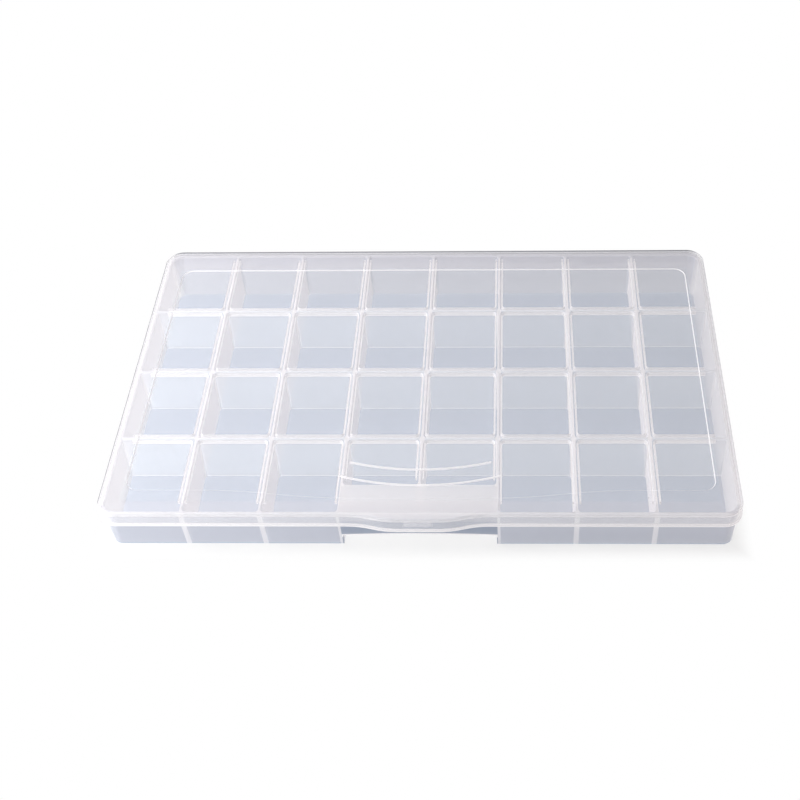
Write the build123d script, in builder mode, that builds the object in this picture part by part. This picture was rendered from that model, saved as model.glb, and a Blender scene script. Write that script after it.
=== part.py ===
"""Bead storage box: a tray of fixed compartments with a hinged lid that snaps shut.

Millimetres. +X runs to the right, +Y to the back and +Z up. The origin is on
the table, under the middle of the closed box.
"""

import os

from build123d import *

# Overall size of the closed box
overall_length = 349.0
overall_depth = 219.0
overall_height = 35.0

# Lid shell
lid_wall = 1.5
lid_top_thickness = 1.5
skirt_height = 10.0
lid_corner_radius = 10.5
lid_edge_radius = 1.5
lid_inner_edge_radius = 0.8
skirt_bead_height = 1.8
skirt_bead_reach = 0.3

# Thumb tab, a smooth bulge in the middle of the lid's front
tab_reach = 3.6
tab_length = 77.0
tab_flat_length = 22.0

# Sunken panel in the lid's top
panel_side_margin = 13.5
panel_back_margin = 19.0
panel_front_margin = 16.3
panel_depth = 0.5
panel_corner_radius = 7.0
panel_bow = 5.4
panel_bow_outer_length = 240.0
panel_bow_inner_length = 70.0

# Two raised grip lines behind the tab, each set back from the lid's front by its middle
grip_line_width = 1.0
rear_grip_length = 77.6
rear_grip_setback = 30.7
rear_grip_sagitta = 5.1
front_grip_length = 88.4
front_grip_setback = 19.9
front_grip_sagitta = 6.4

# Tray shell
tray_wall = 1.5
tray_floor = 1.5
lid_clearance = 0.5
rim_gap = 0.6
tray_corner_taper = 2.5
tray_bottom_radius = 1.5
side_lean = 1.0
front_lean = 5.5
back_lean = 2.5

# Compartments
columns = 8
rows = 4
column_pitch = 42.7
row_pitch = 51.65
grid_middle_y = 0.4
divider_top = 1.2
divider_bottom = 2.0
cell_corner_radius = 2.0

# Finger pocket under the front ledge, open downwards
pocket_depth = 19.9
pocket_wall = 1.8
pocket_side_setback = 1.1
ledge_thickness = 1.5
pocket_draft = 0.6
pocket_corner_radius = 2.0
lip_bottom = 10.0
lip_arch = 1.4

# Ribs under the lid, one frame inside each compartment
rib_thickness = 0.9
rib_depth = 2.2
rib_side_clearance = 0.85
rib_corner_radius = 2.5
rib_end_gap = 6.5
rib_back_gap = 4.7
rib_pocket_gap = 6.4

# Snap hinges
hinge_spacing = 213.5
pin_radius = 1.2
pin_clearance = 0.07
knuckle_radius = 2.3
hinge_drop = 1.0
hook_length = 15.0
hook_mouth = 2.0
hook_arm = 3.0
cheek_thickness = 2.0
cheek_height = 6.0
cheek_step = 1.2
hinge_end_play = 0.5
window_clearance = 1.0

# Catch
catch_length = 15.6
catch_height = 1.4
catch_rise = 1.1
catch_gap_z = 0.7
catch_clearance = 0.2
nose_reach = 2.0

# Places worked out from the sizes
half_length = overall_length / 2
lid_front = -overall_depth / 2 + tab_reach
lid_back = overall_depth / 2 - knuckle_radius
lid_bottom = overall_height - skirt_height
lid_underside = overall_height - lid_top_thickness
hinge_y = lid_back
hinge_z = lid_bottom - hinge_drop
tray_inset = lid_wall + lid_clearance
tray_rim_corner_radius = lid_corner_radius - tray_inset
rim_height = lid_underside - rim_gap
rear_grip_y = lid_front + rear_grip_setback
front_grip_y = lid_front + front_grip_setback
catch_z = lid_bottom + catch_rise
pocket_back_y = lid_front + pocket_depth
pocket_top = rim_height - ledge_thickness
pocket_side = column_pitch - pocket_side_setback


def tray_edges(height, inset):
    """Left, right, front and back of the tray's outer face at a height, less an inset."""
    below_rim = 1 - height / rim_height
    side = half_length - tray_inset - side_lean * below_rim - inset
    front = lid_front + tray_inset + front_lean * below_rim + inset
    back = lid_back - tray_inset - back_lean * below_rim - inset
    return -side, side, front, back


def tray_corner(height, inset):
    """Corner radius of the tray's outer face at a height, less an inset."""
    below_rim = 1 - height / rim_height
    return tray_rim_corner_radius - tray_corner_taper * below_rim - inset


def tray_section(height):
    """Outline of the tray at a height."""
    left, right, front, back = tray_edges(height, 0)
    with BuildSketch(Plane.XY.offset(height)) as section:
        with Locations((0, (front + back) / 2)):
            RectangleRounded(right - left, back - front, tray_corner(height, 0))
    return section.sketch


def divider_x(index):
    """Middle of a divider between columns, counted from the left wall."""
    return (index - columns / 2) * column_pitch


def divider_y(index):
    """Middle of a divider between rows, counted from the front wall."""
    return grid_middle_y + (index - rows / 2) * row_pitch


def is_over_pocket(column, row):
    """The two middle compartments of the front row end at the finger pocket."""
    return row == 0 and column in (columns // 2 - 1, columns // 2)


def cell_section(column, row, height):
    """Outline of a compartment at a height between the floor and the rim."""
    left, right, front, back = tray_edges(height, tray_wall)
    share = (height - tray_floor) / (rim_height - tray_floor)
    half_divider = (divider_bottom + (divider_top - divider_bottom) * share) / 2
    if column > 0:
        left = divider_x(column) + half_divider
    if column < columns - 1:
        right = divider_x(column + 1) - half_divider
    if row > 0:
        front = divider_y(row) + half_divider
    if row < rows - 1:
        back = divider_y(row + 1) - half_divider
    if is_over_pocket(column, row):
        front = pocket_back_y + pocket_wall + pocket_draft * (1 - share)
    with BuildSketch(Plane.XY.offset(height)) as section:
        with Locations(((left + right) / 2, (front + back) / 2)):
            Rectangle(right - left, back - front)
        corners = section.vertices().sort_by_distance((0, grid_middle_y))
        if column in (0, columns - 1) and row in (0, rows - 1):
            fillet(corners[-1], tray_corner(height, tray_wall))
            corners = corners[:-1]
        fillet(corners, cell_corner_radius)
    return section.sketch


def pocket_section(height):
    """Outline of the finger pocket at a height, wider towards its open bottom."""
    below_top = 1 - height / pocket_top
    side = pocket_side + pocket_draft * below_top
    front = tray_edges(height, tray_wall)[2]
    back = pocket_back_y + pocket_draft * below_top
    with BuildSketch(Plane.XY.offset(height)) as section:
        with Locations((0, (front + back) / 2)):
            RectangleRounded(2 * side, back - front, pocket_corner_radius)
    return section.sketch


def lid_section(height, inset):
    """Outline of the lid with its thumb tab at a height, less an inset."""
    shoulder = tab_length / 2
    flat = tab_flat_length / 2
    bend_x = (shoulder + flat) / 2
    bend_y = lid_front - tab_reach / 2
    nose_y = lid_front - tab_reach
    with BuildSketch(Plane.XY.offset(height)) as section:
        with BuildLine():
            front_left = Line((-half_length, lid_front), (-shoulder, lid_front))
            first = TangentArc(front_left @ 1, (-bend_x, bend_y), tangent=front_left % 1)
            second = TangentArc(first @ 1, (-flat, nose_y), tangent=first % 1)
            level = Line(second @ 1, (flat, nose_y))
            third = TangentArc(level @ 1, (bend_x, bend_y), tangent=level % 1)
            fourth = TangentArc(third @ 1, (shoulder, lid_front), tangent=third % 1)
            Polyline(
                fourth @ 1,
                (half_length, lid_front),
                (half_length, lid_back),
                (-half_length, lid_back),
                (-half_length, lid_front),
            )
        make_face()
        ends = section.vertices().group_by(Axis.X)
        fillet(ends[0] + ends[-1], lid_corner_radius)
        if inset > 0:
            offset(amount=-inset, mode=Mode.REPLACE)
    return section.sketch


def panel_section(height, inset):
    """Outline of the sunken panel, whose front bows out in two smooth bends."""
    side = half_length - panel_side_margin
    back = lid_back - panel_back_margin
    front = lid_front + panel_front_margin
    outer = panel_bow_outer_length / 2
    inner = panel_bow_inner_length / 2
    halfway = ((outer + inner) / 2, front - panel_bow / 2)
    with BuildSketch(Plane.XY.offset(height)) as section:
        with BuildLine():
            left_end = Line((-side, front), (-outer, front))
            first = TangentArc(left_end @ 1, (-halfway[0], halfway[1]), tangent=left_end % 1)
            second = TangentArc(first @ 1, (-inner, front - panel_bow), tangent=first % 1)
            level = Line(second @ 1, (inner, front - panel_bow))
            third = TangentArc(level @ 1, halfway, tangent=level % 1)
            fourth = TangentArc(third @ 1, (outer, front), tangent=third % 1)
            Polyline(fourth @ 1, (side, front), (side, back), (-side, back), (-side, front))
        make_face()
        ends = section.vertices().group_by(Axis.X)
        fillet(ends[0] + ends[-1], panel_corner_radius)
        if inset > 0:
            offset(amount=-inset, mode=Mode.REPLACE)
    return section.sketch


# Compartments, as the solids that the tray is hollowed out by
with BuildPart() as cells:
    for column in range(columns):
        for row in range(rows):
            loft([cell_section(column, row, tray_floor), cell_section(column, row, rim_height)])

# Tray
tray_back = tray_edges(hinge_z, 0)[3]
hinge_places = (-hinge_spacing / 2, hinge_spacing / 2)
with BuildPart() as base_tray:
    loft([tray_section(0), tray_section(rim_height)])
    fillet(base_tray.edges().group_by(Axis.Z)[0], tray_bottom_radius)
    add(cells.part, mode=Mode.SUBTRACT)

    # Finger pocket and the arched lower edge of the lip in front of it
    loft([pocket_section(0), pocket_section(pocket_top)], mode=Mode.SUBTRACT)
    opening_side = pocket_side + pocket_draft
    with BuildSketch(Plane.XZ.offset(-pocket_back_y)) as opening:
        with BuildLine():
            arch = ThreePointArc(
                (-opening_side, lip_bottom), (0, lip_bottom + lip_arch), (opening_side, lip_bottom)
            )
            Polyline(arch @ 1, (opening_side, 0), (-opening_side, 0), arch @ 0)
        make_face()
    extrude(amount=overall_depth / 2 + pocket_back_y, mode=Mode.SUBTRACT)

    # Catch nose on the lip
    nose_bottom = catch_z + catch_height + catch_gap_z
    nose_root = tray_edges(nose_bottom, tray_wall / 2)[2]
    nose_tip = tray_edges(nose_bottom, 0)[2] - nose_reach
    with BuildSketch(Plane.XY.offset(nose_bottom)) as catch_nose:
        with Locations((0, (nose_root + nose_tip) / 2)):
            Rectangle(catch_length, nose_root - nose_tip)
    extrude(amount=catch_height)

    # Open hooks that the lid's pins snap into
    for place in hinge_places:
        with BuildSketch(Plane.YZ.offset(place - hook_length / 2)) as hook:
            arm_root = tray_back - tray_wall / 2
            with Locations(((arm_root + hinge_y) / 2, hinge_z)):
                Rectangle(hinge_y - arm_root, hook_arm)
            with Locations((hinge_y, hinge_z)):
                Circle(knuckle_radius)
                Circle(pin_radius + pin_clearance, mode=Mode.SUBTRACT)
            with Locations((hinge_y, hinge_z + knuckle_radius / 2)):
                Rectangle(hook_mouth, knuckle_radius, mode=Mode.SUBTRACT)
        extrude(amount=hook_length)
base_tray.part.label = "base_tray"

# Hollow of the lid
with BuildPart() as lid_hollow:
    extrude(lid_section(lid_bottom, lid_wall), amount=skirt_height - lid_top_thickness)
    fillet(lid_hollow.edges().group_by(Axis.Z)[-1], lid_inner_edge_radius)


def rib_frame(column, row):
    """Outer edges of the rib frame in a compartment, past the rib ends at outer walls."""
    spread = divider_top / 2 + rib_side_clearance
    left = divider_x(column) + spread if column > 0 else -half_length
    right = divider_x(column + 1) - spread if column < columns - 1 else half_length
    front = divider_y(row) + spread if row > 0 else lid_front
    back = divider_y(row + 1) - spread if row < rows - 1 else lid_back
    return left, right, front, back


# Rib frames, cut off short of the outer walls and of the finger pocket
wall_left, wall_right, wall_front, wall_back = tray_edges(rim_height, tray_wall)
rib_left = wall_left + rib_end_gap
rib_right = wall_right - rib_end_gap
rib_front = wall_front + rib_end_gap
rib_back = wall_back - rib_back_gap
with BuildSketch(Plane.XY.offset(lid_underside)) as ribs:
    for column in range(columns):
        for row in range(rows):
            left, right, front, back = rib_frame(column, row)
            with Locations(((left + right) / 2, (front + back) / 2)):
                RectangleRounded(right - left, back - front, rib_corner_radius)
                RectangleRounded(
                    right - left - 2 * rib_thickness,
                    back - front - 2 * rib_thickness,
                    rib_corner_radius - rib_thickness,
                    mode=Mode.SUBTRACT,
                )
    with Locations(((rib_left + rib_right) / 2, (rib_front + rib_back) / 2)):
        Rectangle(rib_right - rib_left, rib_back - rib_front, mode=Mode.INTERSECT)
    with Locations((0, pocket_back_y + rib_pocket_gap)):
        Rectangle(
            2 * column_pitch,
            overall_depth / 2,
            align=(Align.CENTER, Align.MAX),
            mode=Mode.SUBTRACT,
        )

# Lid
with BuildPart() as lid:
    extrude(lid_section(lid_bottom, skirt_bead_reach), amount=skirt_height)
    fillet(lid.edges().group_by(Axis.Z)[-1], lid_edge_radius)
    extrude(lid_section(lid_bottom, 0), amount=skirt_bead_height)
    add(lid_hollow.part, mode=Mode.SUBTRACT)

    # Sunken panel with bevelled edges, and the grip lines on it
    panel_level = overall_height - panel_depth
    loft(
        [panel_section(panel_level, panel_depth), panel_section(overall_height, 0)],
        mode=Mode.SUBTRACT,
    )
    with BuildSketch(Plane.XY.offset(panel_level)) as grip_lines:
        with BuildLine(mode=Mode.PRIVATE) as rear_line:
            ThreePointArc(
                (-rear_grip_length / 2, rear_grip_y + rear_grip_sagitta),
                (0, rear_grip_y),
                (rear_grip_length / 2, rear_grip_y + rear_grip_sagitta),
            )
        with BuildLine(mode=Mode.PRIVATE) as front_line:
            ThreePointArc(
                (-front_grip_length / 2, front_grip_y + front_grip_sagitta),
                (0, front_grip_y),
                (front_grip_length / 2, front_grip_y + front_grip_sagitta),
            )
        SlotArc(rear_line.edge(), height=grip_line_width)
        SlotArc(front_line.edge(), height=grip_line_width)
    extrude(amount=panel_depth)

    # Rib frames under the top
    extrude(ribs.sketch, amount=-rib_depth)

    # Catch bead inside the thumb tab
    bead_tip = nose_tip - catch_clearance
    bead_root = lid_front - tab_reach + lid_wall / 2
    with BuildSketch(Plane.XY.offset(catch_z)) as catch_bead:
        with Locations((0, (bead_root + bead_tip) / 2)):
            Rectangle(catch_length, bead_tip - bead_root)
    extrude(amount=catch_height)

    # Hinge windows in the back skirt, with cheeks that carry the snap pins
    window_half = hook_length / 2 + hinge_end_play
    window_top = hinge_z + knuckle_radius + window_clearance
    for place in hinge_places:
        with BuildSketch(Plane.XY.offset(lid_bottom)) as window:
            with Locations((place, lid_back - lid_wall / 2)):
                Rectangle(2 * window_half, 2 * lid_wall)
        extrude(amount=window_top - lid_bottom, mode=Mode.SUBTRACT)
        for cheek_start in (place - window_half - cheek_thickness, place + window_half):
            with BuildSketch(Plane.YZ.offset(cheek_start)) as cheek:
                with Locations((hinge_y, hinge_z)):
                    Circle(knuckle_radius)
                with BuildLine():
                    Polyline(
                        (hinge_y - knuckle_radius, hinge_z),
                        (hinge_y + knuckle_radius, hinge_z),
                        (hinge_y + knuckle_radius, hinge_z + cheek_step),
                        (lid_back, hinge_z + cheek_height),
                        (lid_back - lid_wall, hinge_z + cheek_height),
                        (lid_back - lid_wall, lid_bottom + cheek_step),
                        close=True,
                    )
                make_face()
            extrude(amount=cheek_thickness)
        with BuildSketch(Plane.YZ.offset(place - window_half - cheek_thickness / 2)) as pin:
            with Locations((hinge_y, hinge_z)):
                Circle(pin_radius)
        extrude(amount=2 * window_half + cheek_thickness)
lid.part.label = "lid"

os.makedirs("parts", exist_ok=True)
export_step(base_tray.part, "parts/base_tray.step")
export_step(lid.part, "parts/lid.step")
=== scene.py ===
"""Looks of the bead storage box: satin see-through plastic on a white studio floor.

Metres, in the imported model's frame: +X to the right, +Y to the hinge side, +Z up, with
the origin on the table under the middle of the closed box.
"""

import math

import bpy
from mathutils import Matrix, Vector


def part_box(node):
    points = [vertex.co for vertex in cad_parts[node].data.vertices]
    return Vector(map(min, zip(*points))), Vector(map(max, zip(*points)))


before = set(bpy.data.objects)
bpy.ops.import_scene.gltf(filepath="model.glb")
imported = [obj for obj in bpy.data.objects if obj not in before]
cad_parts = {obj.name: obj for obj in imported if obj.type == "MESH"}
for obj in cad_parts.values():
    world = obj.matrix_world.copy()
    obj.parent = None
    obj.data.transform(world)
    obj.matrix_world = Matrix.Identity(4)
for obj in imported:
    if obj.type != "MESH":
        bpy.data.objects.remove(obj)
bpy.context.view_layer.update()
tray_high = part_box("base_tray")[1]
lid_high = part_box("lid")[1]

# The photograph's camera, in pixels of an 800 by 800 picture, metres and radians
PICTURE_WIDTH = 800
SENSOR_WIDTH = 36.0
FOCAL_PIXELS = 1402.0
MIDDLE_PIXEL_X = 468.65
MIDDLE_PIXEL_Y = 147.07
CAMERA_PLACE = Vector((0.05434, -0.58245, 0.63974))
CAMERA_DOWN = math.radians(37.031)
CAMERA_YAW = math.radians(-2.4385)
CAMERA_ROLL = math.radians(-1.9024)

# Heights on the tray, from the table up
FLOOR_TOP_Z = 0.0016
FOOT_LOW_Z = 0.0015
FOOT_HIGH_Z = 0.0023
CATCH_LOW_Z = 0.0264
CATCH_HIGH_Z = 0.0272
RIM_Z = tray_high.z
RIM_DEPTH = 0.0006

# Heights on the closed lid, and how far its ribs and edges reach
LID_TOP_Z = lid_high.z
LID_UNDERSIDE_Z = LID_TOP_Z - 0.0015
PANEL_Z = LID_TOP_Z - 0.0005
SKIRT_BOTTOM_Z = LID_TOP_Z - 0.010
RIB_REACH = 0.0025
RIB_TIP = 0.0019
RIB_ROOT = 0.0004
RIB_START = 0.00005
STEP_START = 0.00004
SKIRT_TOP_DROP = 0.0012
TOP_EDGE_DROP = 0.0022
OUTLINE_DROP = 0.0015
BEAD_DROP = 0.0001
BEAD_RISE = 0.0006

# The tray's grid, walls, finger pocket and catch, seen from above
COLUMN_PITCH = 0.0427
ROW_PITCH = 0.05165
GRID_MIDDLE_Y = 0.0004
DIVIDER_SIDE = 0.0011
DIVIDER_LIMIT_X = 0.15
FRONT_WALL_Y = -0.0975
BACK_WALL_Y = 0.1009
POCKET_SIDE = 0.0425
POCKET_WALL_Y = -0.0855
LIP_TOP_GAP = 0.0002
LIP_ARCH_Z = 0.0114
LIP_ARCH_RISE = 0.0014
LIP_EDGE_LOW = -0.002
LIP_EDGE_HIGH = 0.0009
CATCH_SIDE = 0.0078
CATCH_Y = -0.1041

# The lid's ribs, panel, grip lines, skirt and outline, seen from above
RIBS_SIDE = 0.1665
RIBS_FRONT_Y = -0.0975
RIBS_BACK_Y = 0.1015
PANEL_SIDE = 0.1625
PANEL_FRONT_Y = -0.0965
PANEL_BACK_Y = 0.0890
GRIPS_SIDE = 0.047
GRIPS_FRONT_Y = -0.0885
GRIPS_BACK_Y = -0.0680
SKIRT_SIDE = 0.1715
SKIRT_FRONT_Y = -0.1032
SKIRT_BACK_Y = 0.1045
OUTLINE_LEFT_X = -0.1734
OUTLINE_BACK_Y = 0.1046

# Limits past every face on a side where a finish has no end of its own
FAR = 0.2
JUST_PAST = 0.001

# Widths over which a finish fades into the next
HAIR_FADE = 0.00003
FINE_FADE = 0.00004
SHARP_FADE = 0.0001
CRISP_FADE = 0.0002
CLEAN_FADE = 0.0003
SOFT_FADE = 0.0004
BEAD_FADE = 0.0005
WIDE_FADE = 0.0006
BROAD_FADE = 0.0008
LONG_FADE = 0.001

# Colours of the plain plastic, of the painted highlight on edges that catch light, of dust, and of
# the studio
MILK = (0.85, 0.835, 0.87, 1)
CLOUDED_MILK = (0.89, 0.875, 0.905, 1)
HIGHLIGHT_WHITE = (1.0, 0.97, 0.985, 1)
DUST_GREY = (0.30, 0.31, 0.34, 1)
BLACK = (0, 0, 0, 1)
WHITE = (1, 1, 1, 1)
PAPER = (0.9, 0.9, 0.9, 1)

# Finishes: a colour, and the opacity of a sheet that is seen straight on
CROSS_BLUE = ((0.785, 0.84, 0.915, 1), 0.25)
# Painted light: the column dividers pinkish white, for light passing through them
DIVIDER_PAINTED_LIGHT = ((0.98, 0.93, 0.955, 1), 0.38)
# Painted shade: the tray's front and back walls darker and bluer
END_WALL_PAINTED_SHADE = ((0.535, 0.555, 0.635, 1), 0.44)
BACK_WALL_PAINTED_SHADE = ((0.52, 0.55, 0.64, 1), 0.48)
# Painted shade: the cell floors darker and bluer
CELL_FLOOR_PAINTED_SHADE = ((0.395, 0.47, 0.61, 1), 0.42)
LEDGE_PINK = ((0.85, 0.825, 0.855, 1), 0.5)
SHADED_LIP = ((0.29, 0.335, 0.43, 1), 0.72)
# Painted highlight along the tray's edges
TRAY_PAINTED_HIGHLIGHT = (HIGHLIGHT_WHITE, 0.88)
TRAY_DUST = (DUST_GREY, 0.6)
BORDER_PINK = ((0.83, 0.795, 0.83, 1), 0.19)
SKIRT_MILK = (CLOUDED_MILK, 0.16)
# Painted highlight along the lid's ribs, lines and rims
LID_PAINTED_HIGHLIGHT = (HIGHLIGHT_WHITE, 0.92)
# Painted shade on the lid's back skirt
LID_BACK_PAINTED_SHADE = ((0.60, 0.60, 0.65, 1), 0.4)
# Painted shade: a thin dark line along the lid's left and back edges
OUTLINE_PAINTED_SHADE = ((0.17, 0.17, 0.19, 1), 0.85)
LID_DUST = (DUST_GREY, 0.5)
TRAY_OPACITY = 0.18
LID_OPACITY = 0.13

# How much of the painted highlight the fainter edges take, and how much of the painted dark
# outline the back has
TRAY_RIM_SHARE = 0.35
DIVIDER_END_SHARE = 0.5
FOOT_SHARE = 0.3
RIB_SIDE_SHARE = 0.45
PANEL_LINE_SHARE = 0.7
GRIP_SHARE = 0.7
SKIRT_BEAD_SHARE = 0.75
TOP_EDGE_SHARE = 0.4
BACK_OUTLINE_SHARE = 0.65

# Gloss and moulded texture
TRAY_ROUGHNESS = 0.32
LID_ROUGHNESS = 0.28
OUTLINE_ROUGHNESS = 0.9
PLASTIC_IOR = 1.49
PLASTIC_SPECULAR = 0.35
GRAIN_SCALE = 2400
CLOUD_SCALE = 28
GRAIN_STRENGTH = 0.05
GRAIN_HEIGHT = 0.0001

# Dust: cells to a metre, size of a speck as a share of its cell, and the draw that it must beat
TRAY_SPECKS = (75, 0.025, 0.6)
LID_SPECKS = (55, 0.02, 0.7)

# Share of the light on its way to other surfaces that a sheet holds back, against what is seen
SPREAD_ON = 0.15

# Painted glow: light that the panel's outline gives off, standing in for light gathered inside the
# plastic
PAINTED_LINE_GLOW = 0.10

# Least cosine of the angle at which a sheet is seen, so that its path in the plastic has an end
GRAZING_LIMIT = 0.14

# The floor: its size and height, where its shade begins to lift inside the box's outline and
# ends outside it, how far the front and back of that outline are drawn in, how much of the
# floor's white is left in the shade, and where and how much painted shade darkens it seen through
# plastic behind the box
FLOOR_SIZE = 8
FLOOR_Z = -0.0003
SHADE_INSIDE = -0.004
SHADE_OUTSIDE = 0.009
SHADE_SETBACK_Y = 0.008
SHADE_GLOW = 0.4
BEHIND_SHADE_START = 0.002
BEHIND_SHADE_END = 0.010
BEHIND_SHADE = 0.5

# The room's light, and the white that is seen past the floor
ROOM_LIGHT = 0.5
SEEN_WHITE = 1.0

# Lamps: name, place, the point they face, size, watts and colour
SOFTBOXES = (
    ("key_softbox", (-0.48, -0.03, 0.48), (0, 0, 0), 0.4, 3.0, (1, 1, 1)),
    ("side_softbox", (-0.45, -0.40, 0.12), (0, -0.1, 0.03), 0.3, 1.2, (1, 1, 1)),
    ("warm_softbox", (0.25, -0.17, 0.075), (0.155, -0.09, 0.03), 0.08, 0.03, (1.0, 0.86, 0.80)),
)

# Sheets that a line of sight may cross before it stops
SHEETS_SEEN_THROUGH = 64


def place_camera():
    """The camera that took the photograph, with the lens shift of the cropped picture."""
    forward = Vector((
        math.sin(CAMERA_YAW) * math.cos(CAMERA_DOWN),
        math.cos(CAMERA_YAW) * math.cos(CAMERA_DOWN),
        -math.sin(CAMERA_DOWN),
    ))
    level_right = Vector((math.cos(CAMERA_YAW), -math.sin(CAMERA_YAW), 0))
    level_up = level_right.cross(forward)
    right = math.cos(CAMERA_ROLL) * level_right + math.sin(CAMERA_ROLL) * level_up
    up = math.cos(CAMERA_ROLL) * level_up - math.sin(CAMERA_ROLL) * level_right
    turn = Matrix((right, up, -forward)).transposed().to_4x4()
    lens = bpy.data.cameras.new("photo_camera")
    lens.sensor_width = SENSOR_WIDTH
    lens.lens = FOCAL_PIXELS / PICTURE_WIDTH * SENSOR_WIDTH
    lens.shift_x = (PICTURE_WIDTH / 2 - MIDDLE_PIXEL_X) / PICTURE_WIDTH
    lens.shift_y = (MIDDLE_PIXEL_Y - PICTURE_WIDTH / 2) / PICTURE_WIDTH
    camera = bpy.data.objects.new("photo_camera", lens)
    camera.matrix_world = Matrix.Translation(CAMERA_PLACE) @ turn
    bpy.context.scene.collection.objects.link(camera)
    bpy.context.scene.camera = camera


def new_node(tree, kind, inputs=(), **settings):
    """A node of a kind, with its settings, and its inputs given as values or sockets."""
    node = tree.nodes.new(kind)
    for name, value in settings.items():
        setattr(node, name, value)
    for key, value in dict(inputs).items():
        if isinstance(value, bpy.types.NodeSocket):
            tree.links.new(value, node.inputs[key])
        else:
            node.inputs[key].default_value = value
    return node


def maths(tree, operation, first, second=0.0):
    """The output of a Math node."""
    return new_node(tree, "ShaderNodeMath", {0: first, 1: second}, operation=operation).outputs[0]


def smooth_step(tree, value, start, end, low=0.0, high=1.0):
    """A value's smooth way from low to high between two limits."""
    return new_node(tree, "ShaderNodeMapRange", {
        "Value": value, "From Min": start, "From Max": end, "To Min": low, "To Max": high,
    }, interpolation_type="SMOOTHSTEP").outputs[0]


def mix_float(tree, share, first, second):
    """A plain mix of two numbers."""
    return new_node(tree, "ShaderNodeMix", {0: share, 2: first, 3: second},
                    data_type="FLOAT").outputs[0]


def mix_colour(tree, share, first, second):
    """A plain mix of two colours, each a socket or an RGBA tuple."""
    return new_node(tree, "ShaderNodeMix", {0: share, 6: first, 7: second},
                    data_type="RGBA").outputs[2]


def new_group(name, inputs, outputs):
    """A node group with float inputs and outputs, and a vector input where it is so named."""
    group = bpy.data.node_groups.new(name, "ShaderNodeTree")
    for label in inputs:
        kind = "NodeSocketVector" if label == "Vector" else "NodeSocketFloat"
        group.interface.new_socket(label, in_out="INPUT", socket_type=kind)
    for label in outputs:
        group.interface.new_socket(label, in_out="OUTPUT", socket_type="NodeSocketFloat")
    start = group.nodes.new("NodeGroupInput")
    end = group.nodes.new("NodeGroupOutput")
    return group, start.outputs, end.inputs


def make_band_group():
    """Mask that is 1 where a value lies between Low and High, and fades over Soft outside them."""
    group, ask, give = new_group("band", ["Value", "Low", "High", "Soft"], ["Mask"])
    foot = maths(group, "SUBTRACT", ask["Low"], ask["Soft"])
    head = maths(group, "ADD", ask["High"], ask["Soft"])
    rise = smooth_step(group, ask["Value"], foot, ask["Low"])
    fall = smooth_step(group, ask["Value"], ask["High"], head, low=1.0, high=0.0)
    group.links.new(maths(group, "MULTIPLY", rise, fall), give["Mask"])
    return group


def make_satin_group():
    """Fine moulded texture: a height for bump, and slow clouds for tone."""
    group, ask, give = new_group("satin", ["Vector", "Grain", "Cloud"], ["Height", "Tone"])
    grain = new_node(group, "ShaderNodeTexNoise", {
        "Vector": ask["Vector"], "Scale": ask["Grain"], "Detail": 0.0,
    })
    cloud = new_node(group, "ShaderNodeTexNoise", {
        "Vector": ask["Vector"], "Scale": ask["Cloud"], "Detail": 1.0,
    })
    group.links.new(grain.outputs["Fac"], give["Height"])
    group.links.new(cloud.outputs["Fac"], give["Tone"])
    return group


def make_speck_group():
    """Sparse round specks of dust, as a mask."""
    group, ask, give = new_group("specks", ["Vector", "Scale", "Size", "Rarity"], ["Mask"])
    cells = new_node(group, "ShaderNodeTexVoronoi", {
        "Vector": ask["Vector"], "Scale": ask["Scale"], "Randomness": 1.0,
    }, feature="F1")
    near = maths(group, "LESS_THAN", cells.outputs["Distance"], ask["Size"])
    draw = new_node(group, "ShaderNodeSeparateColor", {0: cells.outputs["Color"]}).outputs[0]
    chosen = maths(group, "GREATER_THAN", draw, ask["Rarity"])
    group.links.new(maths(group, "MULTIPLY", near, chosen), give["Mask"])
    return group


def band(tree, value, low, high, soft):
    """The mask from the band group, placed in a material."""
    return new_node(tree, "ShaderNodeGroup", {
        "Value": value, "Low": low, "High": high, "Soft": soft,
    }, node_tree=BAND).outputs["Mask"]


def specks(tree, place, dust):
    """The mask from the speck group, placed in a material with one of the dust settings."""
    scale, size, rarity = dust
    return new_node(tree, "ShaderNodeGroup", {
        "Vector": place, "Scale": scale, "Size": size, "Rarity": rarity,
    }, node_tree=SPECKS).outputs["Mask"]


def not_in(tree, mask):
    """The share of a surface that a mask leaves."""
    return maths(tree, "SUBTRACT", 1.0, mask)


def part_of(tree, mask, share):
    """A mask made fainter."""
    return maths(tree, "MULTIPLY", mask, share)


def all_of(tree, *masks):
    """Where all the masks overlap."""
    result = masks[0]
    for mask in masks[1:]:
        result = maths(tree, "MULTIPLY", result, mask)
    return result


def any_of(tree, *masks):
    """Where any of the masks lies."""
    result = masks[0]
    for mask in masks[1:]:
        result = maths(tree, "MAXIMUM", result, mask)
    return result


def object_axes(tree):
    """The object coordinates, whole and split into X, Y and Z."""
    place = tree.nodes.new("ShaderNodeTexCoord").outputs["Object"]
    return place, new_node(tree, "ShaderNodeSeparateXYZ", {0: place}).outputs


def seen_directly(tree, path):
    """1 on lines of sight, also by way of gloss or glass, and 0 on light's way to a surface."""
    return any_of(tree, path["Is Camera Ray"],
                  maths(tree, "MAXIMUM", path["Is Glossy Ray"], path["Is Transmission Ray"]))


def new_material(name):
    """A material with only its output and Principled shader, and its object coordinates."""
    material = bpy.data.materials.new(name)
    material.use_nodes = True
    tree = material.node_tree
    tree.nodes.clear()
    output = tree.nodes.new("ShaderNodeOutputMaterial")
    shader = tree.nodes.new("ShaderNodeBsdfPrincipled")
    tree.links.new(shader.outputs[0], output.inputs["Surface"])
    place, axes = object_axes(tree)
    return material, tree, shader, place, axes


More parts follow.
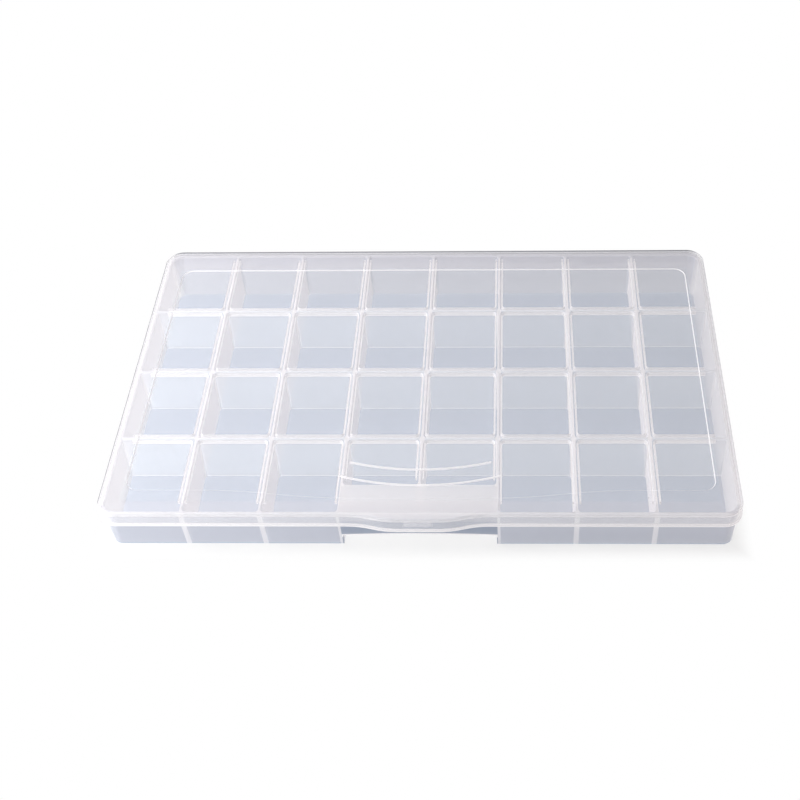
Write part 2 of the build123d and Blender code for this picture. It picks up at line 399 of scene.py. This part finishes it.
def path_alpha(tree, straight_alpha):
    """Opacity of a milky sheet: denser where it is seen along its length, and nearly clear to
    light that goes on to other surfaces, because the milk spreads that light and keeps little."""
    facing = new_node(tree, "ShaderNodeLayerWeight", {"Blend": 0.5}).outputs["Facing"]
    cosine = maths(tree, "MAXIMUM", maths(tree, "SUBTRACT", 1.0, facing), GRAZING_LIMIT)
    clear = maths(tree, "SUBTRACT", 1.0, straight_alpha)
    through = maths(tree, "POWER", clear, maths(tree, "DIVIDE", 1.0, cosine))
    path = tree.nodes.new("ShaderNodeLightPath").outputs
    lighting = maths(tree, "MAXIMUM", path["Is Shadow Ray"], path["Is Diffuse Ray"])
    kept = mix_float(tree, lighting, 1.0, SPREAD_ON)
    return maths(tree, "MULTIPLY", maths(tree, "SUBTRACT", 1.0, through), kept)


def satin_finish(tree, shader, place, roughness):
    """The moulded satin of both parts: gloss and a fine bump. Gives the slow cloud of tone."""
    satin = new_node(tree, "ShaderNodeGroup", {
        "Vector": place, "Grain": GRAIN_SCALE, "Cloud": CLOUD_SCALE,
    }, node_tree=SATIN)
    bump = new_node(tree, "ShaderNodeBump", {
        "Height": satin.outputs["Height"], "Strength": GRAIN_STRENGTH, "Distance": GRAIN_HEIGHT,
    })
    tree.links.new(bump.outputs[0], shader.inputs["Normal"])
    shader.inputs["Roughness"].default_value = roughness
    shader.inputs["IOR"].default_value = PLASTIC_IOR
    shader.inputs["Specular IOR Level"].default_value = PLASTIC_SPECULAR
    return satin.outputs["Tone"]


def lay_finishes(tree, shader, cloud, opacity, layers):
    """Clouded milk with finishes laid over it in order, each through its mask."""
    colour = mix_colour(tree, cloud, MILK, CLOUDED_MILK)
    for mask, (layer_colour, layer_opacity) in layers:
        colour = mix_colour(tree, mask, colour, layer_colour)
        opacity = mix_float(tree, mask, opacity, layer_opacity)
    tree.links.new(colour, shader.inputs["Base Color"])
    tree.links.new(path_alpha(tree, opacity), shader.inputs["Alpha"])


def paint_glow_along(tree, shader, mask):
    """Painted glow: lets fine lines shine faintly, standing in for the light that the plastic
    carries to them.
    """
    glow = mix_colour(tree, mask, BLACK, HIGHLIGHT_WHITE)
    tree.links.new(glow, shader.inputs["Emission Color"])
    shader.inputs["Emission Strength"].default_value = PAINTED_LINE_GLOW


def tray_plastic():
    """Milky see-through plastic: bluish cell floors and grey end walls darkened with painted
    shade, pinkish dividers lightened with painted light, and painted highlights along the edges.
    """
    material, tree, shader, place, axes = new_material("tray_plastic")
    cloud = satin_finish(tree, shader, place, TRAY_ROUGHNESS)
    rim = band(tree, axes["Z"], RIM_Z - RIM_DEPTH, RIM_Z + JUST_PAST, BROAD_FADE)
    floor = band(tree, axes["Z"], -JUST_PAST, FLOOR_TOP_Z, CLEAN_FADE)
    above_floor = not_in(tree, floor)

    # Front and back walls, darker with painted shade
    front_face = band(tree, axes["Y"], -FAR, FRONT_WALL_Y, SOFT_FADE)
    back_face = band(tree, axes["Y"], BACK_WALL_Y, FAR, CRISP_FADE)
    end_wall = all_of(tree, any_of(tree, front_face, back_face), above_floor)
    back_wall = all_of(tree, back_face, above_floor)

    # Dividers both ways, and their ends seen through the front wall that they run into, which take
    # a painted highlight
    from_divider = maths(tree, "PINGPONG", axes["X"], COLUMN_PITCH / 2)
    at_divider = band(tree, from_divider, -JUST_PAST, DIVIDER_SIDE, WIDE_FADE)
    from_cross = maths(tree, "PINGPONG", maths(tree, "SUBTRACT", axes["Y"], GRID_MIDDLE_Y),
                       ROW_PITCH / 2)
    at_cross = band(tree, from_cross, -JUST_PAST, DIVIDER_SIDE, CRISP_FADE)
    inside_ends = band(tree, axes["X"], -DIVIDER_LIMIT_X, DIVIDER_LIMIT_X, LONG_FADE)
    before_pocket = band(tree, axes["X"], -POCKET_SIDE, POCKET_SIDE, CLEAN_FADE)
    divider = all_of(tree, at_divider, above_floor, not_in(tree, end_wall), inside_ends)
    divider_end = all_of(tree, at_divider, front_face, not_in(tree, before_pocket), inside_ends)
    cross = all_of(tree, at_cross, above_floor)
    foot = all_of(tree, cross, band(tree, axes["Z"], FOOT_LOW_Z, FOOT_HIGH_Z, CLEAN_FADE))

    # Ledge over the finger pocket, and its lip: painted shade under the tab, with a painted
    # highlight along the lower edge of its arch and on the catch's bar
    in_front = band(tree, axes["Y"], -FAR, POCKET_WALL_Y, CLEAN_FADE)
    ledge = all_of(tree, before_pocket, in_front, rim)
    lip = all_of(tree, front_face, before_pocket,
                 band(tree, axes["Z"], 0.0, SKIRT_BOTTOM_Z - LIP_TOP_GAP, BROAD_FADE))
    across = maths(tree, "DIVIDE", axes["X"], POCKET_SIDE)
    across_squared = maths(tree, "MULTIPLY", across, across)
    arch = maths(tree, "SUBTRACT", LIP_ARCH_Z,
                 maths(tree, "MULTIPLY", LIP_ARCH_RISE, across_squared))
    above_arch = maths(tree, "SUBTRACT", axes["Z"], arch)
    lip_edge = all_of(tree, lip, band(tree, above_arch, LIP_EDGE_LOW, LIP_EDGE_HIGH, SOFT_FADE))
    catch = all_of(tree, band(tree, axes["X"], -CATCH_SIDE, CATCH_SIDE, CLEAN_FADE),
                   band(tree, axes["Y"], -FAR, CATCH_Y, SHARP_FADE),
                   band(tree, axes["Z"], CATCH_LOW_Z, CATCH_HIGH_Z, SHARP_FADE))

    edge = all_of(tree, rim, not_in(tree, ledge))
    # Painted highlight on the rim, the lip's lower edge, the catch, the divider ends and the feet
    painted_highlight = any_of(tree, part_of(tree, edge, TRAY_RIM_SHARE), lip_edge, catch,
                    part_of(tree, divider_end, DIVIDER_END_SHARE),
                    part_of(tree, foot, FOOT_SHARE))
    lay_finishes(tree, shader, cloud, TRAY_OPACITY, (
        (cross, CROSS_BLUE),
        (divider, DIVIDER_PAINTED_LIGHT),
        (end_wall, END_WALL_PAINTED_SHADE),
        (back_wall, BACK_WALL_PAINTED_SHADE),
        (floor, CELL_FLOOR_PAINTED_SHADE),
        (ledge, LEDGE_PINK),
        (lip, SHADED_LIP),
        (painted_highlight, TRAY_PAINTED_HIGHLIGHT),
        (specks(tree, place, TRAY_SPECKS), TRAY_DUST),
    ))
    return material


def lid_plastic():
    """The same plastic, clearer over the panel, with painted highlights along ribs, grip lines and
    rims, painted shade on the back skirt and as a dark outline, and a painted glow along the
    panel's lines.
    """
    material, tree, shader, place, axes = new_material("lid_plastic")
    cloud = satin_finish(tree, shader, place, LID_ROUGHNESS)

    # Ribs under the plate, with a painted highlight that is brightest at their roots and tips
    under = band(tree, axes["Z"], LID_UNDERSIDE_Z - RIB_REACH, LID_UNDERSIDE_Z - RIB_START,
                 FINE_FADE)
    inside = all_of(tree, band(tree, axes["X"], -RIBS_SIDE, RIBS_SIDE, CLEAN_FADE),
                    band(tree, axes["Y"], RIBS_FRONT_Y, RIBS_BACK_Y, CLEAN_FADE))
    root = band(tree, axes["Z"], LID_UNDERSIDE_Z - RIB_ROOT, LID_UNDERSIDE_Z, CRISP_FADE)
    tip = band(tree, axes["Z"], LID_UNDERSIDE_Z - RIB_REACH, LID_UNDERSIDE_Z - RIB_TIP, CRISP_FADE)
    ribs = all_of(tree, under, inside,
                  mix_float(tree, any_of(tree, root, tip), RIB_SIDE_SHARE, 1.0))

    # Step round the sunken panel, the two grip lines, and the raised border
    step = band(tree, axes["Z"], PANEL_Z + STEP_START, LID_TOP_Z - STEP_START, HAIR_FADE)
    panel = all_of(tree, band(tree, axes["X"], -PANEL_SIDE, PANEL_SIDE, CRISP_FADE),
                   band(tree, axes["Y"], PANEL_FRONT_Y, PANEL_BACK_Y, CRISP_FADE))
    lines = all_of(tree, step, panel)
    grips = all_of(tree, band(tree, axes["Z"], PANEL_Z + STEP_START, LID_TOP_Z + JUST_PAST,
                              HAIR_FADE),
                   band(tree, axes["X"], -GRIPS_SIDE, GRIPS_SIDE, CRISP_FADE),
                   band(tree, axes["Y"], GRIPS_FRONT_Y, GRIPS_BACK_Y, CRISP_FADE))
    border = all_of(tree, not_in(tree, panel),
                    band(tree, axes["Z"], LID_UNDERSIDE_Z, LID_TOP_Z + JUST_PAST, SHARP_FADE))

    # Skirt, its upper edge and lower bead with painted highlights, and its back darker with
    # painted shade
    within_skirt = all_of(tree, band(tree, axes["X"], -SKIRT_SIDE, SKIRT_SIDE, CLEAN_FADE),
                          band(tree, axes["Y"], SKIRT_FRONT_Y, SKIRT_BACK_Y, CLEAN_FADE))
    skirt = all_of(tree, band(tree, axes["Z"], SKIRT_BOTTOM_Z - JUST_PAST,
                              LID_TOP_Z - SKIRT_TOP_DROP, CLEAN_FADE),
                   not_in(tree, within_skirt))
    bead = band(tree, axes["Z"], SKIRT_BOTTOM_Z - BEAD_DROP, SKIRT_BOTTOM_Z + BEAD_RISE, BEAD_FADE)
    top_edge = all_of(tree, band(tree, axes["Z"], LID_TOP_Z - TOP_EDGE_DROP,
                                 LID_TOP_Z - SKIRT_TOP_DROP, SOFT_FADE),
                      not_in(tree, within_skirt))
    back_skirt = band(tree, axes["Y"], SKIRT_BACK_Y, FAR, WIDE_FADE)

    # Painted shade: thin dark outline along the left side and, fainter, the back, for the dark
    # edge seen at the silhouette
    left_outline = not_in(tree, band(tree, axes["X"], OUTLINE_LEFT_X, FAR, CRISP_FADE))
    back_outline = not_in(tree, band(tree, axes["Y"], -FAR, OUTLINE_BACK_Y, CRISP_FADE))
    outline = all_of(tree, any_of(tree, left_outline,
                                  part_of(tree, back_outline, BACK_OUTLINE_SHARE)),
                     band(tree, axes["Z"], LID_TOP_Z - OUTLINE_DROP, LID_TOP_Z + JUST_PAST,
                          CLEAN_FADE))

    # Painted highlight on the ribs, panel lines, grip lines, skirt bead and top edge
    painted_highlight = any_of(tree, ribs, part_of(tree, lines, PANEL_LINE_SHARE),
                    part_of(tree, grips, GRIP_SHARE), part_of(tree, bead, SKIRT_BEAD_SHARE),
                    part_of(tree, top_edge, TOP_EDGE_SHARE))
    lay_finishes(tree, shader, cloud, LID_OPACITY, (
        (border, BORDER_PINK),
        (skirt, SKIRT_MILK),
        (painted_highlight, LID_PAINTED_HIGHLIGHT),
        (back_skirt, LID_BACK_PAINTED_SHADE),
        (outline, OUTLINE_PAINTED_SHADE),
        (specks(tree, place, LID_SPECKS), LID_DUST),
    ))
    tree.links.new(mix_float(tree, outline, LID_ROUGHNESS, OUTLINE_ROUGHNESS),
                   shader.inputs["Roughness"])
    # Painted glow along the panel's step lines
    paint_glow_along(tree, shader, lines)
    return material


def add_floor():
    """A white floor that keeps the box's shadow, and shows as white to the camera elsewhere."""
    bpy.ops.object.select_all(action="DESELECT")
    bpy.ops.mesh.primitive_plane_add(size=FLOOR_SIZE, location=(0, 0, FLOOR_Z))
    floor = bpy.context.object
    floor.name = "studio_floor"
    material = bpy.data.materials.new("floor_white")
    material.use_nodes = True
    tree = material.node_tree
    tree.nodes.clear()
    output = tree.nodes.new("ShaderNodeOutputMaterial")
    paper = new_node(tree, "ShaderNodeBsdfDiffuse", {"Color": PAPER})
    glow = new_node(tree, "ShaderNodeEmission", {"Color": WHITE})
    path = tree.nodes.new("ShaderNodeLightPath").outputs
    axes = object_axes(tree)[1]

    # Shade under the box and close round it
    beside = maths(tree, "SUBTRACT", maths(tree, "ABSOLUTE", axes["X"]), lid_high.x)
    before = maths(tree, "SUBTRACT", maths(tree, "ABSOLUTE", axes["Y"]),
                   lid_high.y - SHADE_SETBACK_Y)
    away = smooth_step(tree, maths(tree, "MAXIMUM", beside, before), SHADE_INSIDE, SHADE_OUTSIDE,
                       low=SHADE_GLOW, high=1.0)

    # Painted shade: seen through the plastic behind the closed box, where the open lid lies, the
    # floor is dimmer
    behind = smooth_step(tree, axes["Y"], lid_high.y - BEHIND_SHADE_START, lid_high.y + BEHIND_SHADE_END)
    painted_shade_behind = all_of(tree, behind, maths(tree, "MINIMUM", path["Transparent Depth"], 1.0))
    clear = not_in(tree, part_of(tree, painted_shade_behind, BEHIND_SHADE))

    both = new_node(tree, "ShaderNodeMixShader", {
        0: all_of(tree, seen_directly(tree, path), away, clear),
        1: paper.outputs[0],
        2: glow.outputs[0],
    })
    tree.links.new(both.outputs[0], output.inputs["Surface"])
    floor.data.materials.append(material)


def add_world():
    """Soft white room light, and plain white behind the floor."""
    world = bpy.data.worlds.new("studio")
    bpy.context.scene.world = world
    world.use_nodes = True
    tree = world.node_tree
    tree.nodes.clear()
    output = tree.nodes.new("ShaderNodeOutputWorld")
    seen = seen_directly(tree, tree.nodes.new("ShaderNodeLightPath").outputs)
    back = new_node(tree, "ShaderNodeBackground", {
        "Color": WHITE, "Strength": mix_float(tree, seen, ROOM_LIGHT, SEEN_WHITE),
    })
    tree.links.new(back.outputs[0], output.inputs["Surface"])


def add_softbox(name, place, target, size, watts, colour):
    """A square area lamp that faces a point."""
    lamp = bpy.data.lights.new(name, "AREA")
    lamp.shape = "SQUARE"
    lamp.size = size
    lamp.energy = watts
    lamp.color = colour
    holder = bpy.data.objects.new(name, lamp)
    turn = (Vector(target) - Vector(place)).to_track_quat("-Z", "Y").to_matrix().to_4x4()
    holder.matrix_world = Matrix.Translation(place) @ turn
    bpy.context.scene.collection.objects.link(holder)


BAND = make_band_group()
SATIN = make_satin_group()
SPECKS = make_speck_group()

place_camera()
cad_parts["base_tray"].material_slots[0].material = tray_plastic()
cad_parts["lid"].material_slots[0].material = lid_plastic()
add_floor()
add_world()
for softbox in SOFTBOXES:
    add_softbox(*softbox)

scene = bpy.context.scene
scene.view_settings.view_transform = "Standard"
scene.cycles.transparent_max_bounces = SHEETS_SEEN_THROUGH
